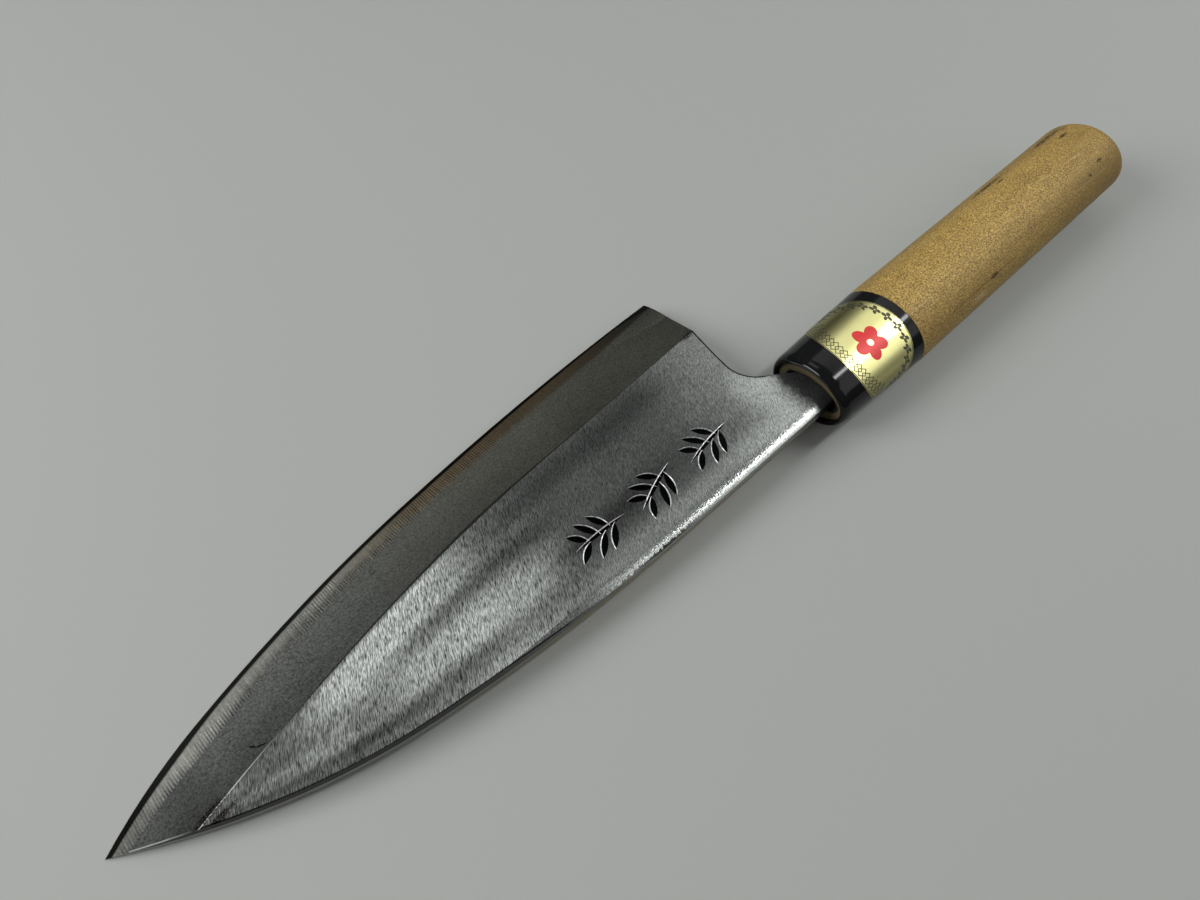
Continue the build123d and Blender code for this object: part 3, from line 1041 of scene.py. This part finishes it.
@dataclass(frozen=True)
class LabelFoil:
    """Gold foil printed with a rosette, a chain of lozenges and a beaded rim, with painted shade on its
    flanks.
    """

    gold: Colour = (1.0, 0.97, 0.46)
    deep_gold: Colour = (0.9, 0.85, 0.36)
    flank_shade: Colour = (0.16, 0.14, 0.05)
    ink: Colour = (0.012, 0.012, 0.01)
    red: Colour = (0.74, 0.03, 0.03)
    span: float = 100.0
    half_length: float = 10.6
    half_width: float = 19.0
    rim_reach: float = 0.955
    rim_half: float = 0.012
    beads: int = 30
    bead_reach: float = 0.8
    bead_half: float = 0.125
    chain_reach: float = 0.79
    chain_half: float = 1.55
    chain_pitch: float = 1.5
    petals: int = 5
    petal_root: float = 2.8
    petal_length: float = 1.8
    rosette: Place = (0.6, -0.4)
    relief_depth: float = 0.02

    def printing(self, across: Value, around: Value) -> Value:
        """Draw the black printing: a thin rim, a row of beads and a chain of lozenges.

        Args:
            across: The place along the handle's axis.
            around: The place round it.

        Returns:
            Its mask.
        """
        run, side = across * (1 / self.half_length), around * (1 / self.half_width)
        reach = (run * run + side * side) ** 0.5
        line = reach.hump(self.rim_reach, self.rim_half).rise(0.0, 0.5)
        turn = side.math("ARCTAN2", run) * (self.beads / (2 * pi))
        step = turn.math("FRACT") * 2.0 - 1.0
        ring = (reach - self.bead_reach) * (1 / self.bead_half)
        spread = (step * step + ring * ring) ** 0.5
        petal = (ring.math("ARCTAN2", step) * 2.0).math("COSINE").math("ABSOLUTE")
        bead = (petal * 0.66 + 0.3 - spread).rise(-0.06, 0.06) * spread.rise(0.1, 0.18)
        band = ((reach - self.chain_reach) * (self.half_length / self.chain_half)).math("ABSOLUTE")
        chain = Value(across.shader, 0.0)
        for start in (0.0, self.chain_pitch):
            lozenge = (around + start).math("PINGPONG", self.chain_pitch) * (1 / self.chain_pitch) + band
            chain = chain + lozenge.hump(0.85, 0.16).rise(0.1, 0.5)
        chain = chain * run.rise(0.2, 0.24) * side.math("ABSOLUTE").rise(0.86, 0.82)
        return (line + bead * run.rise(0.16, 0.1) + chain).capped()

    def bloom(self, across: Value, around: Value) -> Value:
        """Draw the rosette.

        Args:
            across: The place along the handle's axis.
            around: The place round it.

        Returns:
            Its mask.
        """
        east, north = across - self.rosette[0], around - self.rosette[1]
        radius = (east * east + north * north) ** 0.5
        wave = (north.math("ARCTAN2", east) * (self.petals / 2)).math("COSINE").math("ABSOLUTE")
        petal = wave * self.petal_length + self.petal_root
        return (petal - radius).rise(-0.08, 0.08) * radius.rise(0.75, 0.9)

    def build(self, axes: KnifeAxes) -> bpy.types.Material:
        """Build the material.

        Args:
            axes: The knife's axes.

        Returns:
            The finished material.
        """
        shader = Shader("label_foil", axes)
        across, around = ((part - 0.5) * self.span for part in shader.split(shader.uv)[:2])
        cloud = shader.noise(shader.join(across * 0.25, around * 0.25, 0.0), 3.0)
        # Painted shade: the foil's flanks are painted dark, standing for dark surroundings mirrored there
        flank_shade = (around * (1 / self.half_width) + 0.03).math("ABSOLUTE").rise(0.36, 0.58)
        ink, bloom = self.printing(across, around), self.bloom(across, around)
        colour = shader.paint(
            self.gold, (cloud, self.deep_gold), (flank_shade * 0.78, self.flank_shade), (ink * 0.94, self.ink),
            (bloom, self.red),
        )
        printed = (ink + bloom).capped()
        shader.dress(colour, 0.29 + cloud * 0.06 + printed * 0.1, 1.0 - printed * 0.9)
        shader.relief(cloud + printed * 0.4, self.relief_depth)
        return shader.material


def add_ring(
    mesh: bmesh.types.BMesh, last: Ring, segments: int, matrix: Matrix, filled: bool = False
) -> Ring:
    """Add a circle of radius 1 to a mesh and join it to the ring before.

    Args:
        mesh: The mesh.
        last: The ring before, which is empty at the start.
        segments: How many edges the circle has.
        matrix: Where it is laid and how it is stretched.
        filled: Whether a face fills it.

    Returns:
        The new ring.
    """
    circle = bmesh.ops.create_circle(mesh, cap_ends=filled, segments=segments, radius=1.0, matrix=matrix)
    ring = list({edge for vert in circle["verts"] for edge in vert.link_edges})
    if last:
        bmesh.ops.bridge_loops(mesh, edges=last + ring)
    return ring


def close_ring(mesh: bmesh.types.BMesh, ring: Ring) -> None:
    """Close a ring with a fan of faces."""
    fill = bmesh.ops.contextual_create(mesh, geom=ring)
    bmesh.ops.poke(mesh, faces=fill["faces"])


def make_piece(
    name: str, mesh: bmesh.types.BMesh, material: bpy.types.Material, sharp: float = 40.0
) -> bpy.types.Object:
    """Turn a bmesh into an object at the origin.

    Args:
        name: The piece's name.
        mesh: The bmesh, which is freed.
        material: Its material.
        sharp: The angle, in degrees, from which an edge stays sharp.

    Returns:
        The object.
    """
    for face in mesh.faces:
        face.smooth = True
    data = bpy.data.meshes.new(name)
    mesh.to_mesh(data)
    mesh.free()
    data.set_sharp_from_angle(angle=radians(sharp))
    data.materials.append(material)
    piece = bpy.data.objects.new(name, data)
    bpy.context.scene.collection.objects.link(piece)
    return piece


class OvalLoft:
    """A mesh lofted through ovals across the handle's axis."""

    segments = 96

    def __init__(self, axes: KnifeAxes) -> None:
        """Start an empty mesh.

        Args:
            axes: The knife's axes.
        """
        self.axes = axes
        self.mesh = bmesh.new()
        self.last: Ring = []

    def ring(self, x: float, half_height: float, half_width: float, rise: float = 0.0) -> Ring:
        """Add an oval and join it to the one before.

        Args:
            x: Distance in front of the ferrule's mouth.
            half_height: Half of its size along Y.
            half_width: Half of its size along Z.
            rise: How far its middle lies towards the spine.

        Returns:
            The oval's edges.
        """
        matrix = self.axes.section(x, half_height, half_width, rise)
        self.last = add_ring(self.mesh, self.last, self.segments, matrix)
        return self.last

    def cap(self) -> None:
        """Close the last oval with a fan of faces."""
        close_ring(self.mesh, self.last)

    def finish(self, name: str, material: bpy.types.Material, sharp: float = 40.0) -> bpy.types.Object:
        """Turn the mesh into a piece.

        Args:
            name: The piece's name.
            material: Its material.
            sharp: The angle, in degrees, from which an edge stays sharp.

        Returns:
            The piece.
        """
        bmesh.ops.recalc_face_normals(self.mesh, faces=self.mesh.faces)
        return make_piece(name, self.mesh, material, sharp)


@dataclass
class Handle:
    """The wood handle: rounded butt, oval grip, tenon and burnt mouth."""

    axes: KnifeAxes
    length: float = 137.2
    shoulder: float = 31.9
    shoulder_height: float = 25.1
    shoulder_width: float = 19.8
    butt_height: float = 24.8
    butt_width: float = 18.8
    butt_round: float = 9.4
    butt_power: float = 2 / 2.3
    butt_reach: float = 0.985
    butt_steps: int = 14
    grip_steps: int = 24
    tenon_height: float = 19.2
    tenon_width: float = 15.2
    tenon_gap: float = 2.6
    ease: float = 0.1
    mouth_height: float = 15.2
    mouth_width: float = 8.0
    mouth_rise: float = 0.2
    mouth_depth: float = 7.0
    foot_share: float = 0.36

    def half(self, x: float) -> tuple[float, float]:
        """Work out the grip's size at a place.

        Args:
            x: Distance in front of the ferrule's mouth.

        Returns:
            The half height and the half width.
        """
        share = (x + self.shoulder) / (self.butt_round - self.length + self.shoulder)
        height = self.shoulder_height + (self.butt_height - self.shoulder_height) * share
        width = self.shoulder_width + (self.butt_width - self.shoulder_width) * share
        return height / 2, width / 2

    def build(self) -> None:
        """Build the handle and put it in place of its node."""
        loft = OvalLoft(self.axes)
        start = self.butt_round - self.length
        height, width = self.half(start)
        for step in range(self.butt_steps, 0, -1):
            turn = pi / 2 * step / self.butt_steps * self.butt_reach
            ratio = cos(turn) ** self.butt_power
            x = start - self.butt_round * sin(turn) ** self.butt_power
            loft.ring(x, height * ratio, width * ratio)
            if step == self.butt_steps:
                loft.cap()
        for step in range(self.grip_steps + 1):
            x = start + (-self.shoulder - start) * step / self.grip_steps
            loft.ring(x, *self.half(x))
        tenon = (self.tenon_height / 2, self.tenon_width / 2)
        loft.ring(self.ease - self.shoulder, *tenon)
        loft.ring(-self.tenon_gap, *tenon)
        mouth = (self.mouth_height / 2, self.mouth_width / 2)
        loft.ring(-self.tenon_gap - self.ease, *mouth, self.mouth_rise)
        foot = (self.mouth_height * self.foot_share, self.mouth_width * self.foot_share)
        loft.ring(-self.tenon_gap - self.mouth_depth, *foot, self.mouth_rise)
        loft.cap()
        piece = loft.finish("handle_oval", HandleWood().build(self.axes))
        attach(piece, "root")
        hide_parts("handle")
        log.info("handle: %d faces", len(piece.data.polygons))


@dataclass
class Ferrule:
    """The black collar with its rolled lip."""

    axes: KnifeAxes
    length: float = 31.9
    rim_height: float = 25.1
    rim_width: float = 19.8
    mouth_height: float = 23.0
    mouth_width: float = 18.1
    ease: float = 0.15
    wall_steps: int = 8
    lip_start: float = 4.2
    lip_crest: float = 1.4
    lip_roll: float = 1.2
    roll_steps: int = 10
    bore_height: float = 19.3
    bore_width: float = 15.3
    throat_height: float = 19.4
    throat_width: float = 13.9
    throat_front: float = 2.1
    throat_back: float = 2.55

    def half(self, x: float, grown: float = 0.0) -> tuple[float, float]:
        """Work out the outside's size at a place.

        Args:
            x: Distance in front of the ferrule's mouth.
            grown: How far outside the surface it is measured.

        Returns:
            The half height and the half width.
        """
        share = (x + self.length) / (self.length - self.lip_start)
        height = self.rim_height + (self.mouth_height - self.rim_height) * share
        width = self.rim_width + (self.mouth_width - self.rim_width) * share
        return height / 2 + grown, width / 2 + grown

    def roll_lip(self, loft: OvalLoft, throat: Place) -> None:
        """Roll the lip over its crest and into the throat.

        Args:
            loft: The collar's mesh.
            throat: The throat's half height and half width.
        """
        crest = (self.mouth_height / 2 - self.lip_roll, self.mouth_width / 2 - self.lip_roll)
        for step in range(1, self.roll_steps + 1):
            turn = pi / 2 * step / self.roll_steps
            rise = self.lip_roll * cos(turn)
            x = -self.lip_start + (self.lip_start - self.lip_crest) * sin(turn)
            loft.ring(x, crest[0] + rise, crest[1] + rise)
        for step in range(1, self.roll_steps // 2 + 1):
            turn = pi / self.roll_steps * step
            x = -self.lip_crest - (self.throat_front - self.lip_crest) * (1 - cos(turn))
            loft.ring(x, *(out + (into - out) * sin(turn) for out, into in zip(crest, throat)))

    def build(self) -> None:
        """Build the ferrule and put it in place of its node."""
        loft = OvalLoft(self.axes)
        bore = (self.bore_height / 2, self.bore_width / 2)
        throat = (self.throat_height / 2, self.throat_width / 2)
        first = loft.ring(-self.length, *bore)
        height, width = self.half(-self.length)
        loft.ring(-self.length, height - self.ease, width - self.ease)
        loft.ring(-self.length + self.ease, height, width)
        back = self.ease * 2 - self.length
        for step in range(self.wall_steps + 1):
            x = back + (-self.lip_start - back) * step / self.wall_steps
            loft.ring(x, *self.half(x))
        self.roll_lip(loft, throat)
        loft.ring(-self.throat_back, *throat)
        loft.ring(-self.throat_back, *bore)
        loft.ring(-self.length / 2, *bore)
        bmesh.ops.bridge_loops(loft.mesh, edges=loft.last + first)
        piece = loft.finish("ferrule_collar", FerrulePlastic().build(self.axes), sharp=50.0)
        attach(piece, "root")
        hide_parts("ferrule")
        log.info("ferrule: %d faces", len(piece.data.polygons))


@dataclass
class Label:
    """The gold foil label wrapped over the ferrule."""

    axes: KnifeAxes
    ferrule: Ferrule
    length: float = 20.6
    gap: float = 8.3
    middle_turn: float = radians(73.0)
    half_turn: float = radians(97.0)
    glue: float = 0.02
    thickness: float = 0.08
    rings: int = 24
    segments: int = 96

    def build(self) -> None:
        """Build the label and put it in place of its node."""
        mesh = bmesh.new()
        layer = mesh.loops.layers.uv.new("print")
        last: Ring = []
        for ring in range(self.rings):
            last = add_ring(mesh, last, self.segments, Matrix.Scale(1.0 - ring / self.rings, 4))
        close_ring(mesh, last)
        raised = bmesh.ops.extrude_face_region(mesh, geom=list(mesh.faces), use_keep_orig=True)
        top = [item for item in raised["geom"] if isinstance(item, bmesh.types.BMVert)]
        bmesh.ops.translate(mesh, verts=top, vec=(0.0, 0.0, self.thickness))
        mean_half = (self.ferrule.rim_height + self.ferrule.rim_width) / 4
        across, around = self.length / 2 / LabelFoil.span, self.half_turn * mean_half / LabelFoil.span
        for face in mesh.faces:
            for loop in face.loops:
                flat = loop.vert.co
                loop[layer].uv = (0.5 + flat.x * across, 0.5 + flat.y * around)
        middle = -self.gap - self.length / 2
        for vert in mesh.verts:
            x = middle + vert.co.x * self.length / 2
            turn = self.middle_turn + vert.co.y * self.half_turn
            height, width = self.ferrule.half(x, self.glue + vert.co.z)
            vert.co = self.axes.place(x, height * cos(turn), width * sin(turn))
        bmesh.ops.recalc_face_normals(mesh, faces=mesh.faces)
        if mesh.calc_volume(signed=True) < 0.0:
            bmesh.ops.reverse_faces(mesh, faces=mesh.faces)
        piece = make_piece("label_foil", mesh, LabelFoil().build(self.axes))
        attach(piece, "root")
        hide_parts("ferrule_label")
        log.info("label: %d faces", len(piece.data.polygons))


@dataclass
class Blade:
    """The blade's two CAD nodes with their finishes."""

    axes: KnifeAxes
    sizes: BladeSizes = BladeSizes()

    def build(self) -> None:
        """Dress the soft iron and the hard steel."""
        iron = frame["nodes"]["blade_body"].data
        iron.materials.clear()
        iron.materials.append(SoftIron().build(self.axes, self.sizes))
        steel = frame["nodes"]["edge_steel"].data
        steel.materials.clear()
        steel.materials.append(HardSteel().build(self.axes, self.sizes))
        log.info("blade: %d and %d faces", len(iron.polygons), len(steel.polygons))


@dataclass
class Burrs:
    """The bright rims beside the engraved leaves."""

    axes: KnifeAxes
    sizes: BladeSizes = BladeSizes()
    sprig: float = 14.0
    pitch: float = 17.4
    start: float = 27.6
    drop: float = 5.8
    turns: tuple[float, ...] = (0.0, 12.0, -10.0)
    stem: tuple[Place, Place] = ((-0.5, -0.1), (0.5, 0.05))
    leaves: tuple[tuple[Place, Place], ...] = (
        ((-0.3, -0.07), (-0.05, 0.35)), ((-0.1, -0.02), (0.2, 0.38)), ((0.2, 0.02), (0.5, 0.3)),
        ((-0.2, -0.05), (0.05, -0.4)), ((0.0, 0.0), (0.3, -0.38)), ((0.22, 0.0), (0.5, -0.25)),
    )
    stem_half: float = 0.45
    leaf_half: float = 0.8
    thickness: float = 0.17
    # How far a bead's middle lies outside its stroke, as a share of its thickness
    outside: float = 0.7
    least: float = 0.08
    steps: int = 12
    segments: int = 8
    light_side: Place = (-0.45, -0.9)

    def rim(self, mesh: bmesh.types.BMesh, root: Vector, tip: Vector, half: float) -> None:
        """Sweep a tapering bead along the border of one stroke that faces the light.

        Args:
            mesh: The mesh it is added to.
            root: The stroke's start.
            tip: The stroke's end.
            half: Half of the stroke's width.
        """
        chord = tip - root
        side = Vector((chord.y, -chord.x)).normalized()
        if side.dot(Vector(self.light_side)) < 0:
            side = -side
        up = Vector((0.0, 0.0, 1.0))
        last: Ring = []
        for step in range(self.steps + 1):
            share = step / self.steps
            bulge = 4 * share * (1 - share) * (half + self.thickness * self.outside)
            spot = root + chord * share + side * bulge
            run = chord + side * (4 * (1 - 2 * share) * half)
            run = Vector((run.x, run.y, 0.0)).normalized()
            radius = self.thickness * max(self.least, sin(pi * share)) ** 0.5
            lay = Matrix((run.cross(up) * radius, up * radius, run)).transposed().to_4x4()
            lay.translation = Vector((spot.x, spot.y, self.sizes.cheek_height(spot.x)))
            last = add_ring(mesh, last, self.segments, self.axes.matrix @ lay, step in (0, self.steps))

    def build(self) -> None:
        """Build the rims and lay them on the cheek."""
        mesh = bmesh.new()
        for number, turn in enumerate(self.turns):
            middle = Vector((self.start + number * self.pitch, -self.drop))
            twist = Matrix.Rotation(radians(turn), 2)
            for strokes, half in (((self.stem,), self.stem_half), (self.leaves, self.leaf_half)):
                for stroke in strokes:
                    ends = [middle + twist @ (Vector(end) * self.sprig) for end in stroke]
                    self.rim(mesh, *ends, half)
        bmesh.ops.recalc_face_normals(mesh, faces=mesh.faces)
        piece = make_piece("engraving_burrs", mesh, BurrIron().build(self.axes), sharp=60.0)
        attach(piece, "root")
        log.info("burrs: %d faces", len(piece.data.polygons))


@dataclass
class Studio:
    """The floor, the lamps, the world and the camera."""

    axes: KnifeAxes
    floor_half: float = 1.6
    floor_drop: float = 0.0001
    floor_colour: Colour = (0.38, 0.395, 0.375)
    floor_rough: float = 0.9
    lamp_distance: float = 0.9
    lamps: tuple[Lamp, ...] = (
        ("key", (0.74, -0.36, 0.57), (0.0, 1.0, 0.0), (0.45, 0.45), 9.2),
        ("sheen", (-0.12, -0.4, 0.91), (1.0, 0.0, 0.0), (0.3, 0.3), 1.3),
        ("panel", (-0.68, -0.06, 0.73), (0.0, 1.0, 0.0), (0.95, 0.3), 0.85),
        ("spine", (-0.5, 0.66, 0.56), (0.0, 0.0, 1.0), (0.42, 0.42), 1.05),
        ("strip", (-0.64, 0.26, 0.725), (1.0, 0.0, 0.0), (0.5, 0.08), 20.0),
    )
    # The sky's height, from 0 below to 1 above, and its level there
    sky: Table = ((0.0, 0.08), (0.4, 0.16), (0.7, 0.25), (1.0, 0.2))
    camera_place: Axis = (127.3, 62.0, 174.9)
    camera_azimuth: float = radians(46.41)
    camera_elevation: float = radians(56.21)
    focal_length: float = 27.0
    sensor_width: float = 36.0
    nearest: float = 0.01

    def lay_floor(self) -> None:
        """Lay the plain pale floor."""
        mesh = bmesh.new()
        bmesh.ops.create_grid(mesh, x_segments=1, y_segments=1, size=self.floor_half)
        bmesh.ops.translate(mesh, verts=mesh.verts, vec=(0.0, 0.0, -self.floor_drop))
        material = bpy.data.materials.new("floor")
        material.use_nodes = True
        surface = material.node_tree.nodes["Principled BSDF"]
        surface.inputs["Base Color"].default_value = opaque(self.floor_colour)
        surface.inputs["Roughness"].default_value = self.floor_rough
        floor = make_piece("floor", mesh, material)

    def hang_lamp(self, name: str, toward: Axis, along: Axis, size: Place, glow: float) -> None:
        """Hang a rectangular lamp that faces the knife.

        Args:
            name: The lamp's name.
            toward: Direction from the knife to the lamp, in the knife's axes.
            along: Direction of its first side.
            size: Its two sides, in metres.
            glow: Its radiance.
        """
        lamp = bpy.data.lights.new(name, "AREA")
        lamp.shape = "RECTANGLE"
        lamp.size, lamp.size_y = size
        lamp.energy = glow * pi * size[0] * size[1]
        holder = bpy.data.objects.new(name, lamp)
        back = (self.axes.turn @ Vector(toward)).normalized()
        side = back.cross(self.axes.turn @ Vector(along)).normalized()
        turn = Matrix((side.cross(back), side, back)).transposed()
        holder.matrix_world = Matrix.Translation(back * self.lamp_distance) @ turn.to_4x4()
        bpy.context.scene.collection.objects.link(holder)

    def hang_sky(self) -> None:
        """Set the world, a grey sky that changes with height."""
        world = bpy.data.worlds.new("studio")
        world.use_nodes = True
        nodes = Nodes(world.node_tree)
        way = nodes.node("ShaderNodeTexCoord").outputs["Generated"]
        height = nodes.node("ShaderNodeSeparateXYZ", inputs={0: way}).outputs[2]
        grey = nodes.node("ShaderNodeValToRGB", {"stops": self.sky}, {0: height}).outputs[0]
        background = nodes.node("ShaderNodeBackground", inputs={"Color": grey, "Strength": 1.0})
        nodes.node("ShaderNodeOutputWorld", inputs={"Surface": background.outputs[0]})
        bpy.context.scene.world = world

    def aim_camera(self) -> None:
        """Put the camera where the photograph was taken from."""
        level = cos(self.camera_elevation)
        back = Vector((
            level * cos(self.camera_azimuth), level * sin(self.camera_azimuth), sin(self.camera_elevation),
        ))
        right = Vector((0.0, 0.0, 1.0)).cross(back).normalized()
        turn = self.axes.turn @ Matrix((right, back.cross(right), back)).transposed()
        camera = bpy.data.cameras.new("camera")
        camera.sensor_width = self.sensor_width
        camera.lens = self.focal_length
        camera.clip_start = self.nearest
        holder = bpy.data.objects.new("camera", camera)
        holder.matrix_world = Matrix.Translation(self.axes.place(*self.camera_place)) @ turn.to_4x4()
        bpy.context.scene.collection.objects.link(holder)
        bpy.context.scene.camera = holder

    def build(self) -> None:
        """Set up the whole studio."""
        self.lay_floor()
        for lamp in self.lamps:
            self.hang_lamp(*lamp)
        self.hang_sky()
        self.aim_camera()
        bpy.context.scene.view_settings.view_transform = "Standard"


def main() -> None:
    """Build the knife's looks and the studio round it."""
    logging.basicConfig(level=logging.INFO, format="%(name)s: %(message)s")
    axes = KnifeAxes(frame["record"])
    Studio(axes).build()
    Blade(axes).build()
    Burrs(axes).build()
    Handle(axes).build()
    ferrule = Ferrule(axes)
    ferrule.build()
    Label(axes, ferrule).build()


if __name__ == "__main__":
    main()
